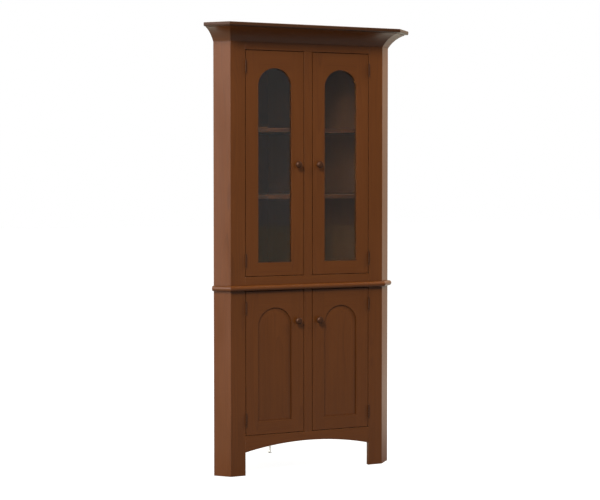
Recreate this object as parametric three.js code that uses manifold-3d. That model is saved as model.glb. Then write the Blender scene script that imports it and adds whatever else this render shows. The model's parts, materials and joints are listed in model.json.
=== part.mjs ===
// Corner cupboard in two cases: a closed base with panelled doors, and a glazed case that stands on it.
// Millimetres, +Z up. The front faces -Y and the room's corner is at the far side, on +Y.

import * as THREE from 'three';
import { mergeVertices } from 'three/addons/utils/BufferGeometryUtils.js';
import Module from 'manifold-3d';

const wasm = await Module();
wasm.setup();

// Plan of both cases
const wallLeg = 621;
const returnWidth = 85;
const boardThickness = 19;
const backThickness = 12;

// Heights
const baseHeight = 861;
const doorSillHeight = 180;
const baseTopRailWidth = 25;
const hutchBottomRailWidth = 39;
const upperDoorwayHeight = 1021;
const hutchTopRailWidth = 92;

// Face frames
const outerStileWidth = 70;
const centreStileWidth = 40;
const apronSpringHeight = 105;
const apronRise = 35;
const tenonLength = 22;
const tenonThickness = 6.5;
const tenonShoulder = 6;
const centreTenonLength = 12;
const stopLap = 12;
const stopThickness = 8;

// Boards inside the cases
const shelfThickness = 19;
const housingDepth = 6;
const shelfSetback = 12;
const baseShelfRise = 325;
const lowerShelfRise = 370;
const upperShelfRise = 673;
const rearFootWidth = 36;
const rearFootDepth = 40;
const glideHeight = 42;
const glideStemDiameter = 10;
const glidePadDiameter = 26;
const glidePadThickness = 6;

// Waist bead
const beadHeight = 24;
const beadProjection = 19;

// Cornice: a sprung cove between a fillet and a square lip
const corniceHeight = 76;
const corniceOverhang = 100;
const corniceAboveCase = 19;
const corniceLip = 17;
const corniceSoffit = 20;
const coveFoot = 2;
const coveRadius = 142;
const lipRounding = 2;
const lipNose = 6;

// Doors
const doorGap = 3;
const doorThickness = 19;
const doorStileWidth = 60;
const doorBottomRailWidth = 60;
const upperCrownWidth = 77;
const lowerCrownWidth = 76;
const archRise = 68;
const archShoulder = 1;
const grooveDepth = 9;
const glassThickness = 3;
const glassSetback = 10;
const panelEdgeThickness = 6;
const panelThickness = 15;
const panelSetback = 8;
const panelFieldRecess = 1.5;
const panelBevelWidth = 34;
const panelStepDepth = 1.5;

// Knobs
const knobDiameter = 32;
const knobProjection = 27;
const knobNeckDiameter = 13;
const knobRoseDiameter = 20;
const knobRoseThickness = 3;
const knobScrewDiameter = 5;
const knobScrewLength = 16;
const upperKnobRise = 503;
const lowerKnobDrop = 140;

// Butt hinges
const hingeHeight = 58;
const hingeInset = 72;
const barrelDiameter = 7.6;
const barrelStandoff = 0.4;
const pinDiameter = 3;
const leafThickness = 1.8;
const leafWidth = 17;
const knuckleCount = 5;

// Fits: a glue line or seat, the clearance between turning parts, and the overrun of every cut
const seat = 0.3;
const running = 0.15;
const overrun = 5;

// Facets
const archSteps = 24;
const coveSteps = 12;
const apronSteps = 24;
const barrelSides = 12;
const knobSides = 20;
const knobCoveSteps = 3;
const knobDomeSteps = 6;
const screwSides = 12;
const glideSides = 20;

// Materials
const wood = (name, color) => new THREE.MeshStandardMaterial({ name, color, roughness: 0.5, metalness: 0 });
const frontWood = wood('front_wood', 0x5b3720);
const sideWood = wood('side_wood', 0x7a5537);
const insideWood = wood('inside_wood', 0x6a4a33);
const trimWood = wood('trim_wood', 0x643c24);
const glassMaterial = new THREE.MeshStandardMaterial({
  name: 'glass', color: 0xc8d0d0, roughness: 0.05, metalness: 0, transparent: true, opacity: 0.3,
});
const bronze = new THREE.MeshStandardMaterial({
  name: 'bronze', color: 0x2e241d, roughness: 0.4, metalness: 0.8,
});

// Values worked out from the driving dimensions
const half = 1 / 2;
const diagonal = Math.SQRT1_2;
const frontHalf = (wallLeg - returnWidth) * diagonal;
const hutchSill = baseHeight + hutchBottomRailWidth;
const upperDoorwayTop = hutchSill + upperDoorwayHeight;
const caseTop = upperDoorwayTop + hutchTopRailWidth;
const lowerDoorwayTop = baseHeight - baseTopRailWidth;
const doorwayOuter = frontHalf - outerStileWidth;
const doorwayInner = centreStileWidth * half;
const doorLeft = doorwayInner + doorGap;
const doorRight = doorwayOuter - doorGap;
const doorMiddle = (doorLeft + doorRight) * half;
const lightHalf = (doorRight - doorLeft) * half - doorStileWidth;
const barrelRadius = barrelDiameter * half;
const barrelAxisX = doorwayOuter - doorGap * half;
const barrelAxisY = -(barrelRadius + barrelStandoff);

// Plan lines of the case: an outward normal and the distance from the plan's origin to the outer face.
// The plan's origin is on the front face, on the centre line.
const planLines = {
  front: { normal: [0, -1], reach: 0 },
  leftReturn: { normal: [-diagonal, -diagonal], reach: frontHalf * diagonal },
  rightReturn: { normal: [diagonal, -diagonal], reach: frontHalf * diagonal },
  leftWall: { normal: [-diagonal, diagonal], reach: frontHalf * diagonal + returnWidth },
  rightWall: { normal: [diagonal, diagonal], reach: frontHalf * diagonal + returnWidth },
  centre: { normal: [1, 0], reach: 0 },
};

// Where two plan lines cross, each moved inwards from its outer face
function crossing(nameA, insetA, nameB, insetB) {
  const a = planLines[nameA];
  const b = planLines[nameB];
  const reachA = a.reach - insetA;
  const reachB = b.reach - insetB;
  const det = a.normal[0] * b.normal[1] - a.normal[1] * b.normal[0];
  return [
    (reachA * b.normal[1] - reachB * a.normal[1]) / det,
    (a.normal[0] * reachB - b.normal[0] * reachA) / det,
  ];
}

const roomCorner = crossing('leftWall', 0, 'rightWall', 0);
const planDepth = roomCorner[1] + corniceOverhang;

// Solids: geometry to manifold and back

function toSolid(geometry) {
  const bare = geometry.clone();
  bare.deleteAttribute('normal');
  bare.deleteAttribute('uv');
  const merged = mergeVertices(bare);
  return new wasm.Manifold(new wasm.Mesh({
    numProp: 3,
    vertProperties: new Float32Array(merged.attributes.position.array),
    triVerts: new Uint32Array(merged.index.array),
  }));
}

function toGeometry(solid) {
  const mesh = solid.getMesh();
  const geometry = new THREE.BufferGeometry();
  geometry.setAttribute('position', new THREE.BufferAttribute(mesh.vertProperties, mesh.numProp));
  geometry.setIndex(new THREE.BufferAttribute(mesh.triVerts, 1));
  geometry.computeVertexNormals();
  return geometry;
}

// A plan outline raised between two heights
function board(outline, bottom, top) {
  const shape = new THREE.Shape(outline.map(([x, y]) => new THREE.Vector2(x, y)));
  const geometry = new THREE.ExtrudeGeometry(shape, { depth: top - bottom, bevelEnabled: false });
  return toSolid(geometry.translate(0, 0, bottom));
}

function block(x0, x1, y0, y1, z0, z1) {
  return board([[x0, y0], [x1, y0], [x1, y1], [x0, y1]], z0, z1);
}

// The radius of an arc that spans twice halfWidth and rises to its crown
function arcRadius(halfWidth, rise) {
  return (halfWidth * halfWidth + rise * rise) / (rise * 2);
}

// An upright round bar, its corners on the circle of this radius
function roundBar(x, y, radius, bottom, top, sides) {
  const shape = new THREE.Shape();
  shape.absarc(0, 0, radius, 0, Math.PI * 2, false);
  const geometry = new THREE.ExtrudeGeometry(shape, {
    depth: top - bottom, bevelEnabled: false, curveSegments: sides * half,
  });
  return toSolid(geometry.translate(x, y, bottom));
}

// A front elevation (x across, z up) given thickness from its front to its back
function slab(shape, front, back, steps) {
  const geometry = new THREE.ExtrudeGeometry(shape, {
    depth: back - front, bevelEnabled: false, curveSegments: steps * half,
  });
  geometry.rotateX(Math.PI * half).translate(0, back, 0);
  return toSolid(geometry);
}

function mirrored(solid) {
  return solid.mirror([1, 0, 0]);
}

function cutAll(solid, tools) {
  return tools.reduce((rest, tool) => rest.subtract(tool), solid);
}

// The half of a solid that is left after a saw cut across the plan
function sawn(solid, normal, point, kerf) {
  const offset = normal[0] * point[0] + normal[1] * point[1] + kerf;
  return solid.trimByPlane([normal[0], normal[1], 0], offset);
}

// The assembly

const cupboard = new THREE.Group();
cupboard.position.set(0, -(planDepth * half - corniceOverhang), 0);

function add(name, solid, material) {
  const mesh = new THREE.Mesh(toGeometry(solid), material);
  mesh.name = name;
  cupboard.add(mesh);
}

function addPair(name, leftSolid, material) {
  const [before, after] = name.split('SIDE');
  add(`${before}left${after}`, leftSolid, material);
  add(`${before}right${after}`, mirrored(leftSolid), material);
}

// The mitre between the front and a return runs along the line through these two plan points
const mitreOuter = crossing('front', 0, 'leftReturn', 0);
const mitreInner = crossing('front', boardThickness, 'leftReturn', boardThickness);
const mitreLength = Math.hypot(mitreInner[0] - mitreOuter[0], mitreInner[1] - mitreOuter[1]);
const mitreNormal = [
  (mitreInner[1] - mitreOuter[1]) / mitreLength,
  -(mitreInner[0] - mitreOuter[0]) / mitreLength,
];
const mitreBack = mitreNormal.map((value) => -value);

// Case sides and backs

function leftSide(bottom, top, housings) {
  const outline = [
    mitreOuter,
    mitreInner,
    crossing('leftReturn', boardThickness, 'leftWall', 0),
    crossing('leftReturn', 0, 'leftWall', 0),
  ];
  const whole = sawn(board(outline, bottom, top), mitreBack, mitreOuter, seat * half);
  return cutAll(whole, housings);
}

function leftBack(bottom, top) {
  return board([
    crossing('leftReturn', boardThickness + seat, 'leftWall', backThickness),
    crossing('centre', 0, 'leftWall', backThickness),
    crossing('centre', 0, 'leftWall', 0),
    crossing('leftReturn', boardThickness + seat, 'leftWall', 0),
  ], bottom, top);
}

// Floors, shelves and tops: the inside of the plan, let into the sides by the depth of the housing

function insideOutline(frontInset, sideInset, backInset) {
  return [
    crossing('front', frontInset, 'rightReturn', sideInset),
    crossing('rightReturn', sideInset, 'rightWall', backInset),
    crossing('leftWall', backInset, 'rightWall', backInset),
    crossing('leftReturn', sideInset, 'leftWall', backInset),
    crossing('front', frontInset, 'leftReturn', sideInset),
  ];
}

const housed = boardThickness - housingDepth;
const behindFrame = boardThickness + seat;
const behindShelfSetback = boardThickness + shelfSetback;

function shelf(frontInset, top) {
  return board(insideOutline(frontInset, housed, backThickness + seat), top - shelfThickness, top);
}

// The groove in the sides that takes a shelf, larger than the shelf by the seat all round
function housing(frontInset, top) {
  const outline = insideOutline(frontInset - seat, housed - seat, backThickness - overrun);
  return board(outline, top - shelfThickness - seat, top + seat);
}

// Face frames

const tenonFront = (boardThickness - tenonThickness) * half;
const tenonBack = tenonFront + tenonThickness;

// A tenon in the middle of the board's thickness, and the mortise that takes it
function tenon(x0, x1, z0, z1) {
  return block(x0, x1, tenonFront, tenonBack, z0, z1);
}

function mortise(x0, x1, z0, z1) {
  return block(x0 - seat, x1 + seat, tenonFront - seat, tenonBack + seat, z0 - seat, z1 + seat);
}

// A rail between the outer stiles, with a tenon at each end
function rail(bottom, top, body) {
  const root = doorwayOuter - tenonShoulder;
  const tip = doorwayOuter + tenonLength;
  const left = tenon(-tip, -root, bottom + tenonShoulder, top - tenonShoulder);
  return body.add(left).add(mirrored(left));
}

function plainRail(bottom, top) {
  return rail(bottom, top, block(-doorwayOuter, doorwayOuter, 0, boardThickness, bottom, top));
}

function leftRailMortise(bottom, top) {
  const tip = doorwayOuter + tenonLength;
  return mortise(-tip, -doorwayOuter, bottom + tenonShoulder, top - tenonShoulder);
}

const centreTenonReach = centreStileWidth * half - tenonShoulder;

function centreMortise(bottom, top) {
  return mortise(-centreTenonReach, centreTenonReach, bottom - centreTenonLength, top + centreTenonLength);
}

// The centre stile, with the wider strip behind it that the doors close against
function centreStile(bottom, top) {
  const stopReach = doorwayInner + stopLap;
  const stopBack = boardThickness + stopThickness;
  const tenonBottom = bottom - centreTenonLength;
  const tenons = tenon(-centreTenonReach, centreTenonReach, tenonBottom, top + centreTenonLength);
  return block(-doorwayInner, doorwayInner, 0, boardThickness, bottom, top)
    .add(block(-stopReach, stopReach, boardThickness, stopBack, bottom, top))
    .add(tenons);
}

function leftStile(bottom, top, mortises) {
  const outline = [mitreOuter, [-doorwayOuter, 0], [-doorwayOuter, boardThickness], mitreInner];
  return cutAll(sawn(board(outline, bottom, top), mitreNormal, mitreOuter, seat * half), mortises);
}

// The shallow arch under the apron, as an arc through its two springings and its crown
function apronShape() {
  const radius = arcRadius(doorwayOuter, apronRise);
  const spread = Math.asin(doorwayOuter / radius);
  const shape = new THREE.Shape();
  shape.moveTo(doorwayOuter, doorSillHeight);
  shape.lineTo(-doorwayOuter, doorSillHeight);
  shape.lineTo(-doorwayOuter, apronSpringHeight);
  const centreHeight = apronSpringHeight + apronRise - radius;
  shape.absarc(0, centreHeight, radius, Math.PI * half + spread, Math.PI * half - spread, true);
  shape.closePath();
  return shape;
}

function addBaseCase() {
  const sill = doorSillHeight;
  const floorBottom = sill - shelfThickness;
  const shelfTop = sill + baseShelfRise;
  const housings = [
    housing(behindFrame, sill),
    housing(behindShelfSetback, shelfTop),
    housing(behindFrame, baseHeight),
  ];
  const mortises = [leftRailMortise(apronSpringHeight, sill), leftRailMortise(lowerDoorwayTop, baseHeight)];
  const gains = leafGains(lowerDoor);
  addPair('base_SIDE_side', leftSide(0, baseHeight, housings), sideWood);
  addPair('base_SIDE_back', leftBack(floorBottom, baseHeight), insideWood);
  addPair('base_SIDE_stile', leftStile(0, baseHeight, [...mortises, ...gains]), frontWood);
  const centreSlot = centreMortise(sill, lowerDoorwayTop);
  const apron = rail(apronSpringHeight, sill, slab(apronShape(), 0, boardThickness, apronSteps));
  add('base_apron', apron.subtract(centreSlot), frontWood);
  add('base_top_rail', plainRail(lowerDoorwayTop, baseHeight).subtract(centreSlot), frontWood);
  add('base_centre_stile', centreStile(sill, lowerDoorwayTop), frontWood);
  add('base_floor', shelf(behindFrame, sill), insideWood);
  add('base_shelf', shelf(behindShelfSetback, shelfTop), insideWood);
  add('base_top', shelf(behindFrame, baseHeight), insideWood);
  add('rear_foot', rearFoot(floorBottom), sideWood);
}

// A post under the floor, its back bevelled to sit in the corner, with a levelling glide screwed into
// its end. From the front the apron hides the post, and only the glide shows under the arch.
function rearFoot(top) {
  const reach = rearFootWidth * half;
  const cornerY = crossing('leftWall', backThickness, 'rightWall', backThickness)[1];
  const sideY = cornerY - reach;
  const middleY = cornerY - rearFootDepth * half;
  const post = board([
    [-reach, cornerY - rearFootDepth],
    [reach, cornerY - rearFootDepth],
    [reach, sideY],
    [0, cornerY],
    [-reach, sideY],
  ], glideHeight, top);
  return post
    .add(roundBar(0, middleY, glideStemDiameter * half, 0, glideHeight + overrun, glideSides))
    .add(roundBar(0, middleY, glidePadDiameter * half, 0, glidePadThickness, glideSides));
}

function addHutch() {
  const lowerShelfTop = hutchSill + lowerShelfRise;
  const upperShelfTop = hutchSill + upperShelfRise;
  const housings = [
    housing(behindFrame, hutchSill),
    housing(behindShelfSetback, lowerShelfTop),
    housing(behindShelfSetback, upperShelfTop),
    housing(behindFrame, caseTop),
  ];
  const mortises = [leftRailMortise(baseHeight, hutchSill), leftRailMortise(upperDoorwayTop, caseTop)];
  const gains = leafGains(upperDoor);
  addPair('hutch_SIDE_side', leftSide(baseHeight, caseTop, housings), sideWood);
  addPair('hutch_SIDE_back', leftBack(baseHeight, caseTop), insideWood);
  addPair('hutch_SIDE_stile', leftStile(baseHeight, caseTop, [...mortises, ...gains]), frontWood);
  const centreSlot = centreMortise(hutchSill, upperDoorwayTop);
  add('hutch_bottom_rail', plainRail(baseHeight, hutchSill).subtract(centreSlot), frontWood);
  add('hutch_top_rail', plainRail(upperDoorwayTop, caseTop).subtract(centreSlot), frontWood);
  add('hutch_centre_stile', centreStile(hutchSill, upperDoorwayTop), frontWood);
  add('hutch_floor', shelf(behindFrame, hutchSill), insideWood);
  add('hutch_lower_shelf', shelf(behindShelfSetback, lowerShelfTop), insideWood);
  add('hutch_upper_shelf', shelf(behindShelfSetback, upperShelfTop), insideWood);
  add('hutch_top', shelf(behindFrame, caseTop), insideWood);
}

// Mouldings: a profile (outwards, up) run along the front and both returns, with sawn mitres

// A run centred on the plan's origin, its back to a face with this outward normal
function profileRun(profile, length, [normalX, normalY]) {
  const geometry = new THREE.ExtrudeGeometry(profile, {
    depth: length, bevelEnabled: false, curveSegments: coveSteps * half,
  });
  geometry.rotateX(Math.PI * half).translate(0, length * half, 0);
  return geometry.rotateZ(Math.atan2(normalY, normalX));
}

function frontMoulding(profile, reach) {
  const run = toSolid(profileRun(profile, (frontHalf + reach) * 2, planLines.front.normal));
  const left = sawn(run, mitreNormal, mitreOuter, seat * half);
  const right = [-mitreNormal[0], mitreNormal[1]];
  return sawn(left, right, [-mitreOuter[0], mitreOuter[1]], seat * half);
}

function returnMoulding(profile, reach) {
  const { normal } = planLines.leftReturn;
  const run = profileRun(profile, (returnWidth + reach) * 2, normal);
  run.translate(mitreOuter[0] + seat * normal[0], mitreOuter[1] + seat * normal[1], 0);
  const mitred = sawn(toSolid(run), mitreBack, mitreOuter, seat * half);
  const wall = planLines.leftWall;
  const wallPoint = [wall.normal[0] * wall.reach, wall.normal[1] * wall.reach];
  return sawn(mitred, wall.normal.map((value) => -value), wallPoint, 0);
}

function addMoulding(name, profile, reach) {
  add(`${name}_front`, frontMoulding(profile, reach), trimWood);
  addPair(`${name}_SIDE`, returnMoulding(profile, reach), trimWood);
}

function beadProfile() {
  const radius = beadHeight * half;
  const flat = beadProjection - radius;
  const bottom = baseHeight - beadHeight;
  const shape = new THREE.Shape();
  shape.moveTo(0, bottom);
  shape.lineTo(flat, bottom);
  shape.absarc(flat, bottom + radius, radius, -Math.PI * half, Math.PI * half, false);
  shape.lineTo(0, baseHeight);
  shape.closePath();
  return shape;
}

// The cove is an arc of coveRadius between its foot and the soffit of the lip, hollow side outwards
function corniceProfile() {
  const top = caseTop + corniceAboveCase;
  const bottom = top - corniceHeight;
  const foot = new THREE.Vector2(coveFoot, bottom + coveFoot);
  const head = new THREE.Vector2(corniceOverhang - corniceSoffit, top - corniceLip - coveFoot);
  const middle = foot.clone().add(head).multiplyScalar(half);
  const chord = head.clone().sub(foot);
  const halfChord = chord.length() * half;
  const depth = Math.sqrt(coveRadius * coveRadius - halfChord * halfChord);
  const outwards = new THREE.Vector2(chord.y, -chord.x).normalize();
  const centre = middle.addScaledVector(outwards, depth);
  const startAngle = foot.clone().sub(centre).angle();
  const endAngle = head.clone().sub(centre).angle();
  const shape = new THREE.Shape();
  shape.moveTo(0, bottom);
  shape.lineTo(coveFoot, bottom);
  shape.absarc(centre.x, centre.y, coveRadius, startAngle, endAngle, true);
  shape.lineTo(head.x, top - corniceLip);
  const noseHeight = top - corniceLip + lipNose;
  shape.absarc(corniceOverhang - lipNose, noseHeight, lipNose, -Math.PI * half, 0, false);
  shape.lineTo(corniceOverhang, top - lipRounding);
  shape.lineTo(corniceOverhang - lipRounding, top);
  shape.lineTo(0, top);
  shape.closePath();
  return shape;
}

// Doors. Each is drawn on the right of the centre line and mirrored for the left.

const lowerDoor = {
  bottom: doorSillHeight + doorGap,
  top: lowerDoorwayTop - doorGap,
  crownWidth: lowerCrownWidth,
};
const upperDoor = {
  bottom: hutchSill + doorGap,
  top: upperDoorwayTop - doorGap,
  crownWidth: upperCrownWidth,
};

// An arch-topped outline, wider than the door's opening by grow on every side
function archShape(door, grow) {
  const radius = arcRadius(lightHalf - archShoulder, archRise);
  const crown = door.top - door.crownWidth;
  const centreHeight = crown - radius;
  const grownRadius = radius + grow;
  const springHalf = lightHalf - archShoulder + grow;
  const spread = Math.asin(Math.min(1, springHalf / grownRadius));
  const springHeight = centreHeight + grownRadius * Math.cos(spread);
  const bottom = door.bottom + doorBottomRailWidth - grow;
  const outer = lightHalf + grow;
  const shape = new THREE.Shape();
  shape.moveTo(doorMiddle - outer, bottom);
  shape.lineTo(doorMiddle + outer, bottom);
  shape.lineTo(doorMiddle + outer, springHeight);
  const startAngle = Math.PI * half - spread;
  shape.absarc(doorMiddle, centreHeight, grownRadius, startAngle, startAngle + spread * 2, false);
  shape.lineTo(doorMiddle - outer, springHeight);
  shape.closePath();
  return shape;
}

function archSlab(door, grow, front, back) {
  return slab(archShape(door, grow), front, back, archSteps);
}

function doorFrame(door, fillFront, fillBack, knobHeight) {
  const blank = block(doorLeft, doorRight, 0, doorThickness, door.bottom, door.top);
  const light = archSlab(door, 0, -overrun, doorThickness + overrun);
  const groove = archSlab(door, grooveDepth + seat, fillFront - seat, fillBack + seat);
  const screwHole = knobHole(knobHeight);
  return cutAll(blank, [light, groove, screwHole, ...doorGains(door)]);
}

function glassPane(door) {
  return archSlab(door, grooveDepth, glassSetback, glassSetback + glassThickness);
}

// The raised panel: a tongue in the groove, a step at the opening, a bevel up to the flat field
function raisedPanel(door) {
  const tongueBack = panelSetback + panelEdgeThickness;
  const tongue = archSlab(door, grooveDepth, panelSetback, tongueBack);
  const bevelDepth = panelSetback - panelStepDepth - panelFieldRecess;
  const field = new THREE.ExtrudeGeometry(archShape(door, -panelBevelWidth - seat), {
    depth: panelThickness,
    bevelThickness: bevelDepth,
    bevelSize: panelBevelWidth,
    bevelSegments: 1,
    curveSegments: archSteps * half,
  });
  field.rotateX(Math.PI * half).translate(0, panelFieldRecess + panelThickness + bevelDepth, 0);
  const within = archSlab(door, -seat, 0, tongueBack);
  return tongue.add(toSolid(field).intersect(within));
}

// Turned knobs: a rose against the door, a neck, a mushroom head, and the screw into the stile

const knobX = doorLeft + doorStileWidth * half;

function lathed(profile, height, sides) {
  const geometry = new THREE.LatheGeometry(profile.map(([r, out]) => new THREE.Vector2(r, out)), sides);
  return toSolid(geometry.rotateX(Math.PI).translate(knobX, 0, height));
}

function knob(height) {
  const head = knobDiameter * half;
  const neck = knobNeckDiameter * half;
  const rose = knobRoseDiameter * half;
  const screw = knobScrewDiameter * half;
  const headStart = knobProjection * half;
  const profile = [
    [0, -knobScrewLength],
    [screw, -knobScrewLength],
    [screw, seat],
    [rose, seat],
    [rose, knobRoseThickness * half],
    [neck, knobRoseThickness],
  ];
  const domeStart = headStart + knobRoseThickness;
  const curve = new THREE.QuadraticBezierCurve(
    new THREE.Vector2(neck, headStart - knobRoseThickness),
    new THREE.Vector2(neck, headStart),
    new THREE.Vector2(head, domeStart),
  );
  const dome = new THREE.EllipseCurve(0, domeStart, head, knobProjection - domeStart, 0, Math.PI * half);
  profile.push(...curve.getPoints(knobCoveSteps).map((p) => [p.x, p.y]));
  profile.push(...dome.getPoints(knobDomeSteps).slice(1).map((p) => [p.x, p.y]));
  return lathed(profile, height, knobSides);
}

function knobHole(height) {
  const radius = (knobScrewDiameter * half + seat) / Math.cos(Math.PI / screwSides);
  const depth = knobScrewLength + seat;
  const profile = [[0, -depth], [radius, -depth], [radius, overrun], [0, overrun]];
  return lathed(profile, height, screwSides);
}

// Butt hinges, on the outer edge of each door. The frame leaf carries the pin.

const knuckleHeight = hingeHeight / knuckleCount;

function hingeHeights(door) {
  return { lower: door.bottom + hingeInset, upper: door.top - hingeInset };
}

function barrelPiece(radius, bottom, top) {
  return roundBar(barrelAxisX, barrelAxisY, radius, bottom, top, barrelSides);
}

// One leaf's plate on its side of the axis (side is 1 for the frame, -1 for the door), with its knuckles
function leaf(side, centre, firstKnuckle) {
  const bottom = centre - hingeHeight * half;
  const near = barrelAxisX + side * running;
  const far = near + side * leafThickness;
  const x0 = Math.min(near, far);
  const x1 = Math.max(near, far);
  let solid = block(x0, x1, 0, leafWidth, bottom, bottom + hingeHeight);
  for (let i = firstKnuckle; i < knuckleCount; i += 2) {
    const z0 = bottom + i * knuckleHeight + (i > 0 ? running : 0);
    const z1 = bottom + (i + 1) * knuckleHeight - (i + 1 < knuckleCount ? running : 0);
    solid = solid.add(block(x0, x1, barrelAxisY, running, z0, z1));
    solid = solid.add(barrelPiece(barrelRadius, z0, z1));
  }
  return solid;
}

function frameLeaf(centre) {
  const bottom = centre - hingeHeight * half;
  const pin = barrelPiece(pinDiameter * half, bottom + running, bottom + hingeHeight - running);
  return leaf(1, centre, 0).add(pin);
}

// The bore's flats clear the pin by the running fit
function doorLeaf(centre) {
  const bottom = centre - hingeHeight * half;
  const boreRadius = (pinDiameter * half + running) / Math.cos(Math.PI / barrelSides);
  return leaf(-1, centre, 1).subtract(barrelPiece(boreRadius, bottom, bottom + hingeHeight));
}

// The shallow recess for a leaf in the edge of the stile or of the door
function leafGain(side, centre) {
  const reach = running + leafThickness + seat;
  const x0 = side > 0 ? barrelAxisX : barrelAxisX - reach;
  const z0 = centre - hingeHeight * half - seat;
  return block(x0, x0 + reach, -overrun, leafWidth + seat, z0, z0 + hingeHeight + seat * 2);
}

// The gains in the left stile, which stands on the mirrored side
function leafGains(door) {
  return Object.values(hingeHeights(door)).map((centre) => mirrored(leafGain(1, centre)));
}

function doorGains(door) {
  return Object.values(hingeHeights(door)).map((centre) => leafGain(-1, centre));
}

function addDoor(name, door, frame, fillName, fill, fillMaterial, knobHeight) {
  const addBoth = (suffix, solid, material) => addPair(`${name}_SIDE_${suffix}`, mirrored(solid), material);
  addBoth('door_frame', frame, frontWood);
  addBoth(fillName, fill, fillMaterial);
  addBoth('knob', knob(knobHeight), bronze);
  for (const [place, centre] of Object.entries(hingeHeights(door))) {
    addBoth(`${place}_hinge_frame_leaf`, frameLeaf(centre), bronze);
    addBoth(`${place}_hinge_door_leaf`, doorLeaf(centre), bronze);
  }
}

function addDoors() {
  const upperKnob = upperDoor.bottom + upperKnobRise;
  const lowerKnob = lowerDoor.top - lowerKnobDrop;
  const glassBack = glassSetback + glassThickness;
  const panelBack = panelSetback + panelEdgeThickness;
  const upperFrame = doorFrame(upperDoor, glassSetback, glassBack, upperKnob);
  const lowerFrame = doorFrame(lowerDoor, panelSetback, panelBack, lowerKnob);
  addDoor('upper', upperDoor, upperFrame, 'glass', glassPane(upperDoor), glassMaterial, upperKnob);
  addDoor('lower', lowerDoor, lowerFrame, 'panel', raisedPanel(lowerDoor), frontWood, lowerKnob);
}

addBaseCase();
addHutch();
addMoulding('waist_moulding', beadProfile(), beadProjection);
addMoulding('cornice', corniceProfile(), corniceOverhang);
addDoors();

export default cupboard;
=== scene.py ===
"""Looks of the corner cupboard: eased boards, framed doors, turned knobs, butt hinges and a stage."""

import json
import math
import random
from functools import cache

import bmesh
import bpy
from bpy.props import FloatProperty, FloatVectorProperty, IntProperty, PointerProperty
from mathutils import Matrix, Vector

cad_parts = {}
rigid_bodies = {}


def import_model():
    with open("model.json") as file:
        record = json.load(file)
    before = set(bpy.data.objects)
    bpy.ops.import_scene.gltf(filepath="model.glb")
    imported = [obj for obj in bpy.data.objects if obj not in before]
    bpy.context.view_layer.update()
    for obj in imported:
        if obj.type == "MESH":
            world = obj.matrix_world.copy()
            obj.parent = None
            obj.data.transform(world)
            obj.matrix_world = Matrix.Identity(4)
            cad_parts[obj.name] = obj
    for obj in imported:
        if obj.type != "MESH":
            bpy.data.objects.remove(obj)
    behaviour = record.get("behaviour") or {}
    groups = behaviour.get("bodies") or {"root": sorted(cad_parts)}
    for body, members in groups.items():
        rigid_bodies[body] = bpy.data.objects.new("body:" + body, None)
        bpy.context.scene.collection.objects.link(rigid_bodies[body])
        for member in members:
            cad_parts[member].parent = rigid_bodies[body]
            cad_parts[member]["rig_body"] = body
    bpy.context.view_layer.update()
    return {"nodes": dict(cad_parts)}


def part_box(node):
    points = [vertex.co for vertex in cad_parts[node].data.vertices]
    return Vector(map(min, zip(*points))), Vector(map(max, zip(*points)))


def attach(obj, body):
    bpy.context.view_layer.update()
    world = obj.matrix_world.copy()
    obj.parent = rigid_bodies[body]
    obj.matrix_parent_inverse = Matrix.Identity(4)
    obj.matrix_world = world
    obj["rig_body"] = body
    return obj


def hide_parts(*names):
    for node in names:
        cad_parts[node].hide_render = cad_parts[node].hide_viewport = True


bl_info = {
    "name": "Corner Cupboard",
    "version": (1, 0, 0),
    "blender": (4, 5, 0),
    "location": "3D View > Sidebar > Cupboard",
    "description": "Builds the finished looks of a two-part corner cupboard round its CAD frame",
    "category": "Object",
}

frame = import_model()

UP = Vector((0, 0, 1))
RIGHT = Vector((1, 0, 0))
BACK = Vector((0, 1, 0))
INTO_RIGHT = Vector((1, 1, 0)).normalized()
INTO_LEFT = Vector((-1, 1, 0)).normalized()
MM = 0.001
SHARP = math.radians(30)  # faces that meet at more than this keep a hard edge
FLAT = math.radians(0.4)  # facets that meet at less than this are joined
WELD = 2e-6  # points closer than this are one
ON_JOINT = 1e-5  # points closer than this to a joint line lie on it
LOOKS_UP = 0.9  # faces that look up more than this get no painted shade
PAST_GROOVE = 20 * MM  # this far outside a door's opening its groove has ended
STOP_GAP = 0.2 * MM  # between a pane and the stops behind it
STOP_ROUNDING = 0.5 * MM
LEAF_ROUNDING = 0.15 * MM
SCREW_STEPS = 20  # facets round a screw, a pin or stem, and a pad
PIN_STEPS = 24
PAD_STEPS = 40

SIDES = {"left": -1, "right": 1}
LEVELS = ("upper", "lower")
SIDE_TANGENT = {"left": INTO_LEFT, "right": INTO_RIGHT}
BACK_TANGENT = {"left": INTO_RIGHT, "right": INTO_LEFT}

# Name, azimuth and elevation in degrees from the front, distance, size, level, mirrored by gloss
LAMPS = (
    ("Key softbox", -43, 37, 8.0, (1.5, 2.1), "key_level", True),
    ("Left softbox", -98, 5, 6.0, (1.6, 2.4), "left_level", True),
    ("Right softbox", 82, 40, 6.0, (4.5, 5.0), "right_level", False),
)
LIGHT_TARGET = Vector((0, -0.05, 1.0))
BEAM_ANGLES = (-42, 32)

# The screws of a hinge leaf, as parts of its height and of the width of its plate
SCREW_PLACES = ((0.14, 0.62), (0.5, 0.36), (0.86, 0.62))

FLOOR_REACH = 30  # half the floor's width, in metres
FLOOR_WHITE = 0.93  # light that the camera sees in it
FLOOR_MIRRORED = 0.85  # most that gloss sees of it
FLOOR_LEFT_LEVEL = 0.2  # share of that at the far left

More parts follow.
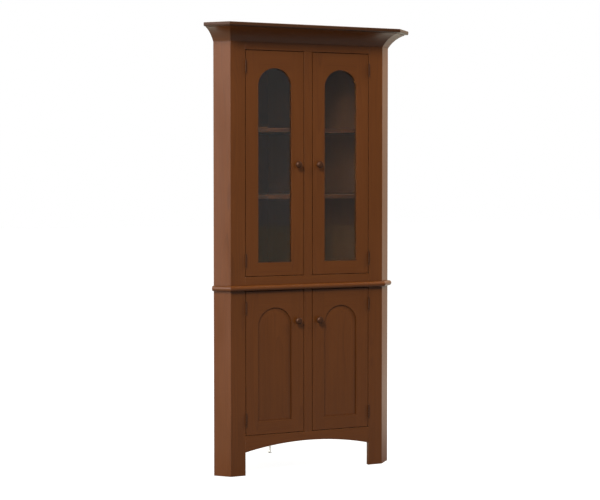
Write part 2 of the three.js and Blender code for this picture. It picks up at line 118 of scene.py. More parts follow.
# Where the mirrored floor turns pale or dim, in metres from the cupboard's middle
FLOOR_BEHIND = (-0.3, 0.6)
FLOOR_AHEAD = (-4.0, -9.0)
FLOOR_LEFT = (-1.0, -2.0)
PATCH_NEAR_SIDE = (-0.6, -1.3)
PATCH_FAR_SIDE = (-3.6, -2.4)
PATCH_FRONT = (-0.9, -0.2)

# Where the mirrored room does, as parts of a direction. The right pane mirrors a dimmer part.
ROOM_BEHIND = (-0.1, 0.3)
WINDOW_SIDE = (-0.45, -0.85)
WINDOW_RISE = (0.02, 0.25)
BEAM_CONE = (0.92, 0.985)
BETWEEN_PANES = (0.398, 0.416)
BETWEEN_PANES_ON_FLOOR = (-0.2, 0.05)
PANE_SLOPE = 0.445  # metres aside for each ahead, along its edge
RIGHT_SHARE = 0.6


# Settings

def a_colour(name, description, default):
    return FloatVectorProperty(
        name=name, description=description, subtype="COLOR", size=3, min=0, max=1, default=default)


def a_number(name, description, default, **limits):
    return FloatProperty(name=name, description=description, default=default, **limits)


def a_length(name, description, default, **limits):
    return a_number(name, description, default, unit="LENGTH", **limits)


def a_count(name, description, default, least):
    return IntProperty(name=name, description=description, min=least, max=128, default=default)


class WoodSettings(bpy.types.PropertyGroup):
    """Colours and figure of the stained wood"""
    stain: a_colour("Stain", "Main colour of the outside boards", (0.093, 0.0255, 0.0032))
    grain_line: a_colour("Grain line", "Colour of the dark growth lines", (0.056, 0.0150, 0.0022))
    sapwood: a_colour("Pale figure", "Colour of the palest figure", (0.118, 0.0350, 0.0056))
    inside: a_colour("Inside stain", "Main colour of the boards inside", (0.152, 0.060, 0.019))
    # Lighter colour on eased edges: partly wear where handling thins the stain, partly a painted
    # highlight where the arrises catch light
    wear_and_highlight: a_colour("Worn and highlit edge", "Colour where handling thins the stain", (0.135, 0.0470, 0.0130))
    # Painted shade on the cornice's lip: a dark colour over the lip's faces below its top, and the
    # height of the lip that it covers
    lip_shade: a_colour("Lip shade", "Dark glaze brushed over the lip of the cornice", (0.012, 0.006, 0.003))
    lip_height: a_length("Lip height", "Height of the cornice's lip, which the glaze covers", 0.017)
    ring_spacing: a_length(
        "Ring spacing", "Distance from one growth ring to the next", 0.0052, min=0.001, max=0.02)
    edge_rounding: a_length(
        "Edge rounding", "Radius of the eased edges of the boards", 0.0009, min=0.0001, max=0.002)
    moulding_rounding: a_length(
        "Moulding rounding", "Radius of the eased edges of the mouldings", 0.0004, min=0.0001, max=0.002)
    roughness: a_number("Varnish roughness", "Roughness of the satin varnish", 0.34, min=0, max=1)
    gloss: a_number("Gloss", "Strength of the varnish's reflections", 0.4, min=0, max=1)
    inside_roughness: a_number(
        "Inside roughness", "Roughness of the thin varnish inside", 0.56, min=0, max=1)
    inside_gloss: a_number("Inside gloss", "Strength of the reflections inside", 0.25, min=0, max=1)


class DoorSettings(bpy.types.PropertyGroup):
    """Sizes of the door frames, panels and glass"""
    stile_width: a_length("Stile width", "Width of a door's stiles and bottom rail", 0.060)
    upper_crown: a_length("Upper crown", "Wood above the arch's crown in an upper door", 0.077)
    lower_crown: a_length("Lower crown", "Wood above the arch's crown in a lower door", 0.076)
    arch_rise: a_length("Arch rise", "Height of the arch above its springing", 0.068)
    arch_shoulder: a_length("Arch shoulder", "Small step at each springing of the arch", 0.001)
    groove_depth: a_length("Groove depth", "Depth of the groove or rebate in the frame", 0.009)
    play: a_length("Play", "Gap round a pane or a panel in its groove", 0.0003)
    glass_setback: a_length("Glass setback", "Depth of the pane behind the door's face", 0.010)
    glass_thickness: a_length("Glass thickness", "Thickness of the pane", 0.003)
    panel_setback: a_length("Panel setback", "Depth of the panel's tongue behind the door's face", 0.008)
    panel_tongue: a_length("Panel tongue", "Thickness of the panel's tongue", 0.006)
    panel_field: a_length(
        "Field setback", "Depth of the panel's flat field behind the door's face", 0.0015)
    panel_step: a_length("Panel step", "Height of the small step at the foot of the bevel", 0.0015)
    panel_bevel: a_length("Bevel width", "Width of the bevel that raises the panel", 0.034)
    arch_steps: a_count("Arch steps", "Number of facets in each arch", 48, 8)


class HardwareSettings(bpy.types.PropertyGroup):
    """Sizes and colours of the knobs, the hinges and the levelling glide"""
    bronze: a_colour("Bronze", "Colour of the dark oiled bronze", (0.040, 0.0150, 0.0070))
    worn_bronze: a_colour("Worn bronze", "Colour where fingers brighten it", (0.075, 0.036, 0.018))
    zinc: a_colour("Zinc", "Colour of the glide's plated stem", (0.72, 0.72, 0.70))
    nylon: a_colour("Nylon", "Colour of the glide's pad", (0.93, 0.93, 0.91))
    glide_height: a_length("Glide height", "Height of the rear foot's post above the floor", 0.042)
    glide_stem: a_length("Glide stem", "Diameter of the glide's stem", 0.010)
    stem_pitch: a_length("Stem pitch", "Height of one turn of the stem's thread", 0.0015, min=0.0005)
    glide_pad: a_length("Glide pad", "Diameter of the glide's pad", 0.026)
    pad_thickness: a_length("Pad thickness", "Thickness of the glide's pad", 0.006)
    hinge_barrel: a_length("Hinge barrel", "Diameter of the hinges' barrels", 0.0076)
    hinge_plate: a_length("Hinge plate", "Width of a hinge leaf that takes the screws", 0.011)
    screw_head: a_length("Screw head", "Diameter of the hinge screws' heads", 0.0066)
    turn_steps: a_count("Turning steps", "Number of facets round a turned piece", 56, 12)


class StageSettings(bpy.types.PropertyGroup):
    """Camera and lights"""
    camera_azimuth: a_number("Camera azimuth", "Angle round the cupboard, in degrees", -23.718)
    camera_elevation: a_number("Camera elevation", "Angle above the target, in degrees", 1.993)
    camera_distance: a_length("Camera distance", "Distance from the camera to its target", 6.748)
    camera_target: FloatVectorProperty(
        name="Camera target", description="Point that the camera's axis passes through",
        subtype="XYZ", size=3, default=(0.0249, -0.0496, 1.1204))
    lens: a_number("Lens", "Focal length of the camera, in millimetres", 86.484)
    lens_shift: a_number("Lens shift", "Upward shift of the view, as a share of its width", -0.04)
    key_level: a_number("Key light", "Brightness that the upper left light gives what faces it", 1.04)
    left_level: a_number("Left light", "Brightness that the low left light gives what faces it", 0.75)
    right_level: a_number("Right light", "Brightness that the right light gives what faces it", 2.2)
    room_level: a_number("Room level", "Light that the dim room in front of the cupboard gives", 0.12)
    reflected_level: a_number("Reflected level", "Brightness of the room as gloss mirrors it", 0.30)
    side_window_level: a_number("Side window level", "Brightness of a mirrored window at the left", 3.7)
    window_level: a_number("Window level", "Extra light that the room sends in through the glass", 0.12)
    beam_level: a_number("Beam level", "Brightness of the soft beam through the glass", 1.8)
    sweep_colour: a_colour("Sweep colour", "Tint of the light from the sweep behind", (1.0, 0.92, 0.72))
    sweep_level: a_number("Sweep level", "Brightness of the pale sweep behind the cupboard", 1.0)


def chosen(name):
    """The present settings of the wood, the doors, the hardware or the stage."""
    return getattr(bpy.context.scene, "cupboard_" + name)


# Nodes

def set_inputs(tree, node, inputs):
    """Links a node's inputs to other sockets, or sets them to numbers, vectors or colours."""
    for key, value in inputs.items():
        socket = node.inputs[key]
        if isinstance(value, bpy.types.NodeSocket):
            tree.links.new(value, socket)
        elif socket.type == "RGBA":
            socket.default_value = (*value[:3], 1)
        else:
            socket.default_value = value


def add_node(tree, kind, inputs=None, **settings):
    """A shader node with its settings, and its inputs set or linked."""
    made = tree.nodes.new("ShaderNode" + kind)
    for key, value in settings.items():
        setattr(made, key, value)
    set_inputs(tree, made, inputs or {})
    return made


def math_node(tree, operation, a, b=0.0):
    return add_node(tree, "Math", {0: a, 1: b}, operation=operation).outputs[0]


def plus(tree, a, b):
    return math_node(tree, "ADD", a, b)


def times(tree, a, b):
    return math_node(tree, "MULTIPLY", a, b)


def vector_node(tree, operation, a, b=(0, 0, 0)):
    return add_node(tree, "VectorMath", {0: a, 1: b}, operation=operation).outputs


def scaled(tree, vector, factors):
    return vector_node(tree, "MULTIPLY", vector, factors)[0]


def mixed(tree, factor, a, b, blend="MIX"):
    return add_node(tree, "Mix", {0: factor, 6: a, 7: b},
                    data_type="RGBA", blend_type=blend, clamp_factor=True).outputs[2]


def ranged(tree, value, low, high, to_low=0.0, to_high=1.0):
    return add_node(tree, "MapRange", {0: value, 1: low, 2: high, 3: to_low, 4: to_high},
                    interpolation_type="SMOOTHSTEP").outputs[0]


def noise(tree, position, scales, seed, detail=2.0, roughness=0.5):
    """Noise in a space stretched to so many waves a metre each way. The seed picks its place."""
    return add_node(tree, "TexNoise", {
        "Vector": scaled(tree, position, scales), "W": seed, "Scale": 1.0, "Detail": detail,
        "Roughness": roughness}, noise_dimensions="4D").outputs


def object_position(tree):
    return add_node(tree, "TexCoord").outputs["Object"]


def attribute(tree, name, output="Fac"):
    return add_node(tree, "Attribute", attribute_name=name).outputs[output]


def new_group(name, inputs, outputs):
    """A node group, its sockets named by kind. Returns the tree, its inputs and its output node."""
    tree = bpy.data.node_groups.new(name, "ShaderNodeTree")
    for in_out, kinds in (("INPUT", inputs), ("OUTPUT", outputs)):
        for kind, titles in kinds.items():
            for title in titles:
                tree.interface.new_socket(title, in_out=in_out, socket_type="NodeSocket" + kind)
    return tree, tree.nodes.new("NodeGroupInput").outputs, tree.nodes.new("NodeGroupOutput")


# What every finish group puts out
FINISH = {"Color": ["Color"], "Float": ["Roughness", "Height"]}


@cache
def board_figure_group():
    """Growth rings, fibre streaks, pores and blotches of one board. Position is in the board's own
    frame: across its face, through its thickness, along its length."""
    tree, given, outside = new_group(
        "Board figure", {"Vector": ["Position"], "Float": ["Seed", "Ring spacing"]},
        {"Float": ["Rings", "Streaks", "Pores", "Blotches"]})
    position = given["Position"]
    seed = given["Seed"]
    wobble = noise(tree, position, (7, 7, 1.3), seed)["Color"]
    centred = vector_node(tree, "SUBTRACT", wobble, (0.5, 0.5, 0.5))[0]
    bent = vector_node(tree, "ADD", position, scaled(tree, centred, (0.055, 0.055, 0)))[0]
    drift = math_node(tree, "SINE", times(tree, seed, 5.3))
    pith = add_node(
        tree, "CombineXYZ", {"X": times(tree, drift, 0.035), "Y": 0.06, "Z": 0.0}).outputs[0]
    from_pith = vector_node(tree, "SUBTRACT", bent, pith)[0]
    radius = vector_node(tree, "LENGTH", scaled(tree, from_pith, (1, 1, 0)))["Value"]
    saw = math_node(tree, "FRACT", math_node(tree, "DIVIDE", radius, given["Ring spacing"]))
    late = math_node(tree, "POWER", saw, 2.6)
    early = ranged(tree, saw, 0.93, 1.0, 1.0, 0.0)
    streaks = noise(tree, position, (190, 190, 4.5), seed, 4.0, 0.62)[0]
    speck = noise(tree, position, (1500, 1500, 42), seed, 1.0)[0]
    pores = ranged(tree, speck, 0.62, 0.72)
    later = plus(tree, seed, 4.0)
    blotches = noise(tree, position, (8, 8, 2.2), later, 3.0)[0]
    wander = noise(tree, position, (26, 26, 1.6), later)[0]
    rings = times(tree, times(tree, late, early), ranged(tree, wander, 0.38, 0.66, 0.1, 1.3))
    set_inputs(tree, outside, {
        "Rings": rings, "Streaks": streaks, "Pores": pores, "Blotches": blotches})
    return tree


@cache
def stained_colour_group():
    """Stain over a board's figure, with painted shade on marked faces and lighter eased edges that are
    partly wear and partly a painted highlight.
    """
    tree, given, outside = new_group(
        "Stained colour",
        {"Color": ["Stain", "Line", "Pale", "Wear and highlight colour", "Shade colour"],
         "Float": ["Rings", "Streaks", "Pores", "Blotches", "Wear and highlight", "Painted shade", "Tone", "Roughness"]},
        FINISH)
    streak = ranged(tree, given["Streaks"], 0.30, 0.72)
    base = mixed(tree, times(tree, streak, 0.42), given["Stain"], given["Pale"])
    lined = mixed(tree, times(tree, given["Rings"], 0.40), base, given["Line"])
    pored = mixed(tree, times(tree, given["Pores"], 0.35), lined, given["Line"])
    blotch = ranged(tree, given["Blotches"], 0.28, 0.72, 0.94, 1.06)
    tone = ranged(tree, given["Tone"], 0.0, 1.0, 0.98, 1.02)
    level = times(tree, blotch, tone)
    grey = add_node(tree, "CombineColor", {0: level, 1: level, 2: level}).outputs[0]
    toned = mixed(tree, 1.0, pored, grey, "MULTIPLY")
    # Painted shade: marked faces darken towards a dark colour, standing in for the shade on the
    # cornice's lip
    painted_shade = mixed(tree, times(tree, given["Painted shade"], 0.62), toned, given["Shade colour"])
    # Lighter eased edges, broken up by the streaks: partly wear, partly a painted highlight along the
    # arrises
    worn = ranged(tree, given["Streaks"], 0.35, 0.65, 0.25, 0.8)
    color = mixed(tree, times(tree, given["Wear and highlight"], worn), painted_shade, given["Wear and highlight colour"])
    rough = plus(tree, given["Roughness"], times(tree, given["Pores"], 0.16))
    rough = plus(tree, rough, ranged(tree, given["Blotches"], 0.3, 0.7, -0.04, 0.05))
    height = math_node(tree, "SUBTRACT", times(tree, given["Rings"], 0.35), given["Pores"])
    set_inputs(tree, outside, {"Color": color, "Roughness": rough, "Height": height})
    return tree


@cache
def patina_group():
    """Dark patina with brighter handling marks and fine pitting."""
    tree, given, outside = new_group(
        "Patina", {"Vector": ["Position"], "Color": ["Dark", "Worn"], "Float": ["Wear and highlight"]}, FINISH)
    cloud = noise(tree, given["Position"], (140, 140, 140), 1.0, 3.0)[0]
    pits = noise(tree, given["Position"], (1300, 1300, 1300), 2.0)[0]
    worn = plus(tree, ranged(tree, cloud, 0.52, 0.78, 0.0, 0.4), times(tree, given["Wear and highlight"], 0.55))
    color = mixed(tree, worn, given["Dark"], given["Worn"])
    rough = ranged(tree, cloud, 0.3, 0.7, 0.46, 0.36)
    set_inputs(tree, outside, {"Color": color, "Roughness": rough, "Height": pits})
    return tree


def new_material(name):
    material = bpy.data.materials.new(name)
    material.use_nodes = True
    tree = material.node_tree
    shader = next(n for n in tree.nodes if n.type == "BSDF_PRINCIPLED")
    return material, tree, shader


def dress_shader(tree, shader, group, inputs, bump_strength, bump_distance):
    """Gives the shader the colour, roughness and height that a finish group puts out."""
    made = add_node(tree, "Group", inputs, node_tree=group).outputs
    bump = add_node(tree, "Bump", {
        "Height": made["Height"], "Strength": bump_strength, "Distance": bump_distance})
    set_inputs(tree, shader, {
        "Base Color": made["Color"], "Roughness": made["Roughness"], "Normal": bump.outputs[0]})


def wood_material(name, stain, pale, line, roughness, gloss):
    wood = chosen("wood")
    material, tree, shader = new_material(name)
    seed = attribute(tree, "board_seed")
    figure = add_node(tree, "Group", {
        "Position": attribute(tree, "board_position", "Vector"), "Seed": seed,
        "Ring spacing": wood.ring_spacing}, node_tree=board_figure_group()).outputs
    dress_shader(tree, shader, stained_colour_group(), {
        "Stain": stain, "Line": line, "Pale": pale, "Wear and highlight colour": wood.wear_and_highlight,
        "Rings": figure["Rings"], "Streaks": figure["Streaks"], "Pores": figure["Pores"],
        # Lighter eased edges, partly wear and partly a painted highlight
        "Blotches": figure["Blotches"], "Wear and highlight": attribute(tree, "wear_and_highlight"),
        "Tone": math_node(tree, "FRACT", times(tree, seed, 3.7)),
        # Painted shade on the cornice's lip
        "Painted shade": attribute(tree, "painted_shade"), "Shade colour": wood.lip_shade,
        "Roughness": roughness}, 0.35, 0.12 * MM)
    set_inputs(tree, shader, {"Specular IOR Level": gloss})
    return material


@cache
def outside_wood():
    wood = chosen("wood")
    return wood_material(
        "Stained outside wood", wood.stain, wood.sapwood, wood.grain_line, wood.roughness, wood.gloss)


@cache
def inside_wood():
    wood = chosen("wood")
    pale = [value * 1.35 for value in wood.inside]
    line = [value * 0.62 for value in wood.inside]
    return wood_material(
        "Stained inside wood", wood.inside, pale, line, wood.inside_roughness, wood.inside_gloss)


@cache
def bronze_material():
    hardware = chosen("hardware")
    material, tree, shader = new_material("Dark oiled bronze")
    dress_shader(tree, shader, patina_group(), {
        "Position": object_position(tree), "Dark": hardware.bronze, "Worn": hardware.worn_bronze,
        "Wear and highlight": attribute(tree, "wear_and_highlight")}, 0.12, 0.1 * MM)
    set_inputs(tree, shader, {
        "Metallic": 0.1, "Specular IOR Level": 0.5, "Specular Tint": (1.0, 0.55, 0.38)})
    return material


def plain_material(name, colour, metallic, roughness):
    """One colour with fine tool marks or moulding grain in its roughness."""
    material, tree, shader = new_material(name)
    grain = noise(tree, object_position(tree), (900, 900, 900), 3.0)[0]
    rough = ranged(tree, grain, 0.3, 0.7, roughness - 0.06, roughness + 0.06)
    set_inputs(tree, shader, {"Base Color": colour, "Metallic": metallic, "Roughness": rough})
    return material


@cache
def glass_material():
    material, tree, shader = new_material("Clear window glass")
    waves = noise(tree, object_position(tree), (9, 9, 5), 1.0, 1.0)[0]
    bump = add_node(tree, "Bump", {"Height": waves, "Strength": 0.05, "Distance": 1 * MM})
    set_inputs(tree, shader, {
        "Base Color": (0.96, 0.98, 0.97), "Transmission Weight": 1.0, "IOR": 1.5,
        "Roughness": ranged(tree, waves, 0.3, 0.7, 0.012, 0.03), "Normal": bump.outputs[0]})
    return material


# Meshes

# Marks eased edges for a lighter colour: partly wear, partly a painted highlight
def wear_and_highlight_layer(bm):
    return bm.loops.layers.float.get("wear_and_highlight") or bm.loops.layers.float.new("wear_and_highlight")


def mark_corners(faces, layer):
    for face in faces:
        for loop in face.loops:
            loop[layer] = 1.0


def merged_copy(node):
    """A copy of a CAD node's mesh, its doubles merged and its flat facets joined."""
    bm = bmesh.new()
    bm.from_mesh(frame["nodes"][node].data)
    wear_and_highlight_layer(bm)
    bmesh.ops.remove_doubles(bm, verts=bm.verts, dist=WELD)
    bmesh.ops.dissolve_limit(
        bm, angle_limit=FLAT, use_dissolve_boundaries=False, verts=bm.verts, edges=bm.edges)
    return bm


def ease(bm, size, segments=2, picked=None):
    """Rounds the sharp edges and marks the rounding for a lighter colour, partly wear and partly a
    painted highlight.
    """
    layer = wear_and_highlight_layer(bm)
    sharp = [
        edge for edge in bm.edges
        if edge.is_manifold and edge.calc_face_angle() > SHARP and (picked is None or picked(edge))]
    made = bmesh.ops.bevel(
        bm, geom=sharp, offset=size, offset_type="OFFSET", segments=segments, profile=0.5,
        affect="EDGES", clamp_overlap=False, material=-1)
    mark_corners(made["faces"], layer)


def lofted(levels, place):
    """A closed solid through outlines with matching points: a face on the first level, and one
    extrusion for each level after it. Each level is (outline, depth), and place maps them to space."""
    bm = bmesh.new()
    wear_and_highlight_layer(bm)
    outline, depth = levels[0]
    face = bm.faces.new([bm.verts.new(place(u, v, depth)) for u, v in outline])
    for outline, depth in levels[1:]:
        made = bmesh.ops.extrude_face_region(bm, geom=[face])
        face = next(item for item in made["geom"] if isinstance(item, bmesh.types.BMFace))
        for vert, (u, v) in zip(face.verts, outline):
            vert.co = place(u, v, depth)
    bmesh.ops.recalc_face_normals(bm, faces=bm.faces)
    return bm


def spun(profile, axis_point, outwards, steps):
    """A turned solid. The profile is a list of (radius, height), and outwards is its axis."""
    bm = bmesh.new()
    wear_and_highlight_layer(bm)
    sideways = outwards.orthogonal().normalized()
    verts = [
        bm.verts.new(axis_point + sideways * radius + outwards * height) for radius, height in profile]
    edges = [bm.edges.new(pair) for pair in zip(verts, verts[1:])]
    bmesh.ops.spin(
        bm, geom=verts + edges, cent=axis_point, axis=outwards, dvec=(0, 0, 0),
        angle=math.tau, steps=steps, use_merge=True, use_normal_flip=False, use_duplicate=False)
    bmesh.ops.remove_doubles(bm, verts=bm.verts, dist=WELD)
    bmesh.ops.recalc_face_normals(bm, faces=bm.faces)
    return bm


def join_into(bm, *others):
    """Adds the other meshes to the first as separate shells."""
    for other in others:
        mesh = bpy.data.meshes.new("shell")
        other.to_mesh(mesh)
        other.free()
        bm.from_mesh(mesh)
        bpy.data.meshes.remove(mesh)
    return bm


def shade_lip_faces(bm, height):
    """Marks the faces above a height for painted shade, apart from those that look up."""
    layer = bm.loops.layers.float.new("painted_shade")
    mark_corners([
        face for face in bm.faces
        if face.normal.z < LOOKS_UP and face.calc_center_median().z > height], layer)


def bezier(start, pull, end, steps):
    """Points on a quadratic curve after its start."""
    made = []
    for i in range(1, steps + 1):
        t = i / steps
        made.append(tuple(
            (1 - t) ** 2 * a + 2 * t * (1 - t) * b + t * t * c for a, b, c in zip(start, pull, end)))
    return made


# Pieces

def mark_board(mesh, name, along, across):
    """Writes each point's place in the board's own frame, and the board's seed."""
    axes = (across, along.cross(across), along)
    points = [vert.co.copy() for vert in mesh.vertices]
    low, high = (Vector([pick(p[i] for p in points) for i in range(3)]) for pick in (min, max))
    centre = (low + high) / 2
    local = [(point - centre).dot(axis) for point in points for axis in axes]
    mesh.attributes.new("board_position", "FLOAT_VECTOR", "POINT").data.foreach_set("vector", local)
    value = random.Random(name).uniform(1.0, 40.0)
    mesh.attributes.new("board_seed", "FLOAT", "POINT").data.foreach_set("value", [value] * len(points))


def new_object(name, data):
    made = bpy.data.objects.new(name, data)
    bpy.context.scene.collection.objects.link(made)
    return made


def make_piece(bm, name, body, material, stands_for=(), board=None):
    """Turns a bmesh into a finished piece on its body. board is (along, across) for wood."""
    mesh = bpy.data.meshes.new(name)
    bm.to_mesh(mesh)
    bm.free()
    if board:
        mark_board(mesh, name, *board)
    mesh.polygons.foreach_set("use_smooth", [True] * len(mesh.polygons))
    mesh.set_sharp_from_angle(angle=SHARP)
    mesh.materials.append(material)
    piece = new_object(name, mesh)
    piece.modifiers.new("Weighted normals", "WEIGHTED_NORMAL").keep_sharp = True
    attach(piece, body)
    if stands_for:
        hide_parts(*stands_for)


def make_bronze(bm, name, body, stands_for=()):
    make_piece(bm, name, body, bronze_material(), stands_for)


def make_board(node, along, across, material=None, size=None, shaded_above=None):
    """A rounded copy of a CAD board that stands for it. Its faces above a height may get painted shade.
    """
    bm = merged_copy(node)
    ease(bm, size or chosen("wood").edge_rounding)
    if shaded_above:
        shade_lip_faces(bm, shaded_above)
    body = frame["nodes"][node]["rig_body"]
    make_piece(bm, "wood_" + node, body, material or outside_wood(), [node], (along, across))


# Doors

class Light:
    """The opening of one door: its centre, half width, bottom, springing and arch."""

    def __init__(self, level, side):
        doors = chosen("doors")
        self.body = f"{level}_{side}_door"
        self.low, self.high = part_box(self.body + "_frame")
        self.front = self.low.y
        self.depth = self.high.y - self.low.y
        self.centre = (self.low.x + self.high.x) / 2
        self.door_half = (self.high.x - self.low.x) / 2
        self.half = self.door_half - doors.stile_width
        self.bottom = self.low.z + doors.stile_width
        self.crown = self.high.z - getattr(doors, level + "_crown")
        self.spring_half = self.half - doors.arch_shoulder
        self.radius = (self.spring_half ** 2 + doors.arch_rise ** 2) / (2 * doors.arch_rise)
        self.steps = doors.arch_steps
        self.spring = self.arch(0)[0][1]

    def arch(self, grow):
        """Points of the arch from the left springing over the crown to the right one, grown outwards."""
        radius = self.radius + grow
        spread = math.asin(min(1, (self.spring_half + grow) / radius))
        centre = self.crown - self.radius
        turns = [spread * (2 * i / self.steps - 1) for i in range(self.steps + 1)]
        return [(radius * math.sin(turn), centre + radius * math.cos(turn)) for turn in turns]

    def outline(self, grow):
        """The whole opening, grown outwards on every side."""
        arch = self.arch(grow)
        outer = self.half + grow
        return [(outer, arch[-1][1]), (outer, self.bottom - grow), (-outer, self.bottom - grow),
                (-outer, arch[0][1]), *arch]

    def place(self, u, v, depth):
        """From (across, up, depth behind the door's face) to space."""
        return Vector((self.centre + u, self.front + depth, v))

def rail_outlines(light, grow):
    """Elevations of the bottom rail and the arched top rail, grown into the stiles and the light."""
    outer = light.half + grow
    sight = light.bottom - grow
    bottom = [(-outer, light.low.z), (outer, light.low.z), (outer, sight), (-outer, sight)]
    arch = light.arch(grow)
    spring = arch[0][1]
    top = [(-outer, light.high.z), (-outer, spring), *arch, (outer, spring), (outer, light.high.z)]
    return {"bottom_rail": bottom, "top_rail": top}


def stile_outline(light, grow, near, far):
    """Plan of a stile from the opening's edge outwards, with a groove between two depths, or a
    rebate where the far side of the groove is the back of the door."""
    inner, outer, depth = light.half, light.door_half, light.depth
    if far < depth:
        return [(inner, 0), (outer, 0), (outer, depth), (inner, depth),
                (inner, far), (inner + grow, far), (inner + grow, near), (inner, near)]
    return [(inner, 0), (outer, 0), (outer, depth),
            (inner + grow, depth), (inner + grow, near), (inner, near)]


def stile_edges(light):
    """The arrises of a stile that stay in view: round the outside, and along the opening."""
    def picked(edge):
        offsets = [abs(vert.co.x - light.centre) for vert in edge.verts]
        if all(offset > light.half + PAST_GROOVE for offset in offsets):
            return True
        low, high = sorted(vert.co.z for vert in edge.verts)
        on_face = all(vert.co.y < light.front + MM for vert in edge.verts)
        return high - low > MM and on_face and light.bottom < (low + high) / 2 < light.crown
    return picked


def rail_edges(light):
    """The arrises of a rail that stay in view: top and bottom of the door, and along the opening."""
    ends = (light.low.z, light.high.z)

    def picked(edge):
        on_front = all(vert.co.y < light.front + WELD for vert in edge.verts)
        on_back = all(vert.co.y > light.high.y - WELD for vert in edge.verts)
        joint = all(abs(abs(vert.co.x - light.centre) - light.half) < ON_JOINT for vert in edge.verts)
        on_rim = all(min(abs(vert.co.z - end) for end in ends) < WELD for vert in edge.verts)
        return on_front and not joint or on_back and on_rim
    return picked


def make_door_wood(bm, light, part, along, across, stands_for=()):
    make_piece(bm, f"{light.body}_{part}", light.body, outside_wood(), stands_for,
               (along, across))


def make_door_frame(level, side, painted_shade):
    """Two stiles, a bottom rail and an arched top rail, rebated for glass or grooved for a panel."""
    doors = chosen("doors")
    rounding = chosen("wood").edge_rounding
    light = Light(level, side)
    node = light.body + "_frame"
    grow = doors.groove_depth
    near = doors.glass_setback if painted_shade else doors.panel_setback
    far = light.depth if painted_shade else doors.panel_setback + doors.panel_tongue
    plan = stile_outline(light, grow, near, far)
    for part, sign in (("outer_stile", SIDES[side]), ("inner_stile", -SIDES[side])):
        outline = [(sign * u, v) for u, v in plan]
        bm = lofted([(outline, light.low.z), (outline, light.high.z)],
                    lambda u, depth, height: light.place(u, height, depth))
        for height in (light.bottom, light.spring):
            bmesh.ops.bisect_plane(
                bm, geom=bm.verts[:] + bm.edges[:] + bm.faces[:], dist=WELD,
                plane_co=(0, 0, height), plane_no=(0, 0, 1))
        ease(bm, rounding, picked=stile_edges(light))
        make_door_wood(bm, light, part, UP, RIGHT, [node])
    shapes = rail_outlines(light, 0)
    grown = rail_outlines(light, grow)
    for part in shapes:
        levels = [(shapes[part], 0), (shapes[part], near), (grown[part], near), (grown[part], far)]
        if not painted_shade:
            levels += [(shapes[part], far), (shapes[part], light.depth)]
        bm = lofted(levels, light.place)
        ease(bm, rounding, picked=rail_edges(light))
        make_door_wood(bm, light, part, RIGHT, UP, [node])


def make_glazing(level, side):
    """The pane and the four glazing stops behind it."""
    doors = chosen("doors")
    light = Light(level, side)
    edge = doors.groove_depth - doors.play
    front = doors.glass_setback
    pane_back = front + doors.glass_thickness
    pane = light.outline(edge)
    bm = lofted([(pane, front), (pane, pane_back)], light.place)
    make_piece(
        bm, light.body + "_pane", light.body, glass_material(), [f"{level}_{side}_glass"])
    foot = light.bottom - edge
    sill = light.bottom
    spring = light.spring
    inner = light.half
    outer = inner + edge
    stops = {
        "bottom_stop": ([(-outer, foot), (outer, foot), (outer, sill), (-outer, sill)], RIGHT, UP),
        "left_stop": ([(-outer, sill), (-inner, sill), (-inner, spring), (-outer, spring)], UP, RIGHT),
        "right_stop": ([(inner, sill), (outer, sill), (outer, spring), (inner, spring)], UP, RIGHT),
        "arched_stop": (
            [*light.arch(0), (outer, spring), *reversed(light.arch(edge)), (-outer, spring)], RIGHT, UP),
    }
    for part, (outline, along, across) in stops.items():
        bm = lofted([(outline, pane_back + STOP_GAP), (outline, light.depth)], light.place)
        ease(bm, STOP_ROUNDING, 1)
        make_door_wood(bm, light, part, along, across)


def make_panel(level, side):
    """The raised panel: tongue, step, bevel and flat field, all following the arch."""
    doors = chosen("doors")
    light = Light(level, side)
    tongue = light.outline(doors.groove_depth - doors.play)
    step = light.outline(-doors.play)
    field = light.outline(-doors.panel_bevel)
    front = doors.panel_setback
    bm = lofted([
        (tongue, front + doors.panel_tongue), (tongue, front), (step, front),
        (step, front - doors.panel_step), (field, doors.panel_field)], light.place)
    make_door_wood(bm, light, "raised_panel", UP, RIGHT, [f"{level}_{side}_panel"])


# Turned pieces and hinges

def make_rear_foot():
    """The post in the corner under the floor, on its levelling glide: a threaded stem and a pad."""
    hardware = chosen("hardware")
    low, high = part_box("rear_foot")
    middle = Vector(((low.x + high.x) / 2, (low.y + high.y) / 2, low.z))
    side = high.y - (high.x - low.x) / 2
    plan = [(low.x, low.y), (high.x, low.y), (high.x, side), (middle.x, high.y), (low.x, side)]
    bm = lofted(
        [(plan, low.z + hardware.glide_height), (plan, high.z)], lambda x, y, z: Vector((x, y, z)))
    ease(bm, chosen("wood").edge_rounding)
    make_piece(bm, "rear_foot_post", "case", outside_wood(), ["rear_foot"], (UP, RIGHT))
    bm = spun(stem_profile(hardware), middle, UP, PIN_STEPS)
    steel = plain_material("Zinc-plated steel", hardware.zinc, 1.0, 0.35)
    make_piece(bm, "rear_foot_stem", "case", steel, ["rear_foot"])
    bm = spun(pad_profile(hardware.glide_pad / 2, hardware.pad_thickness), middle, UP, PAD_STEPS)
    nylon = plain_material("White nylon", hardware.nylon, 0.0, 0.45)
    make_piece(bm, "rear_foot_pad", "case", nylon, ["rear_foot"])


def stem_profile(hardware):
    """From inside the pad up the thread into the post."""
    radius = hardware.glide_stem / 2
    root = radius * 0.86
    pitch = hardware.stem_pitch
    top = hardware.glide_height + 2 * MM
    rise = hardware.pad_thickness - 1 * MM
    profile = [(0, rise), (radius, rise)]
    while rise < hardware.glide_height - 2 * MM:
        profile += [(root, rise + pitch / 2), (radius, rise + pitch)]
        rise += pitch
    return profile + [(root, top), (0, top)]


def pad_profile(radius, thick):
    """From the floor round the pad's rim to its top."""
    profile = [(0, 0), (radius * 0.94, 0), (radius, 0.8 * MM), (radius, thick * 0.6)]
    return profile + bezier(profile[-1], (radius, thick), (radius * 0.72, thick), 4) + [(0, thick)]


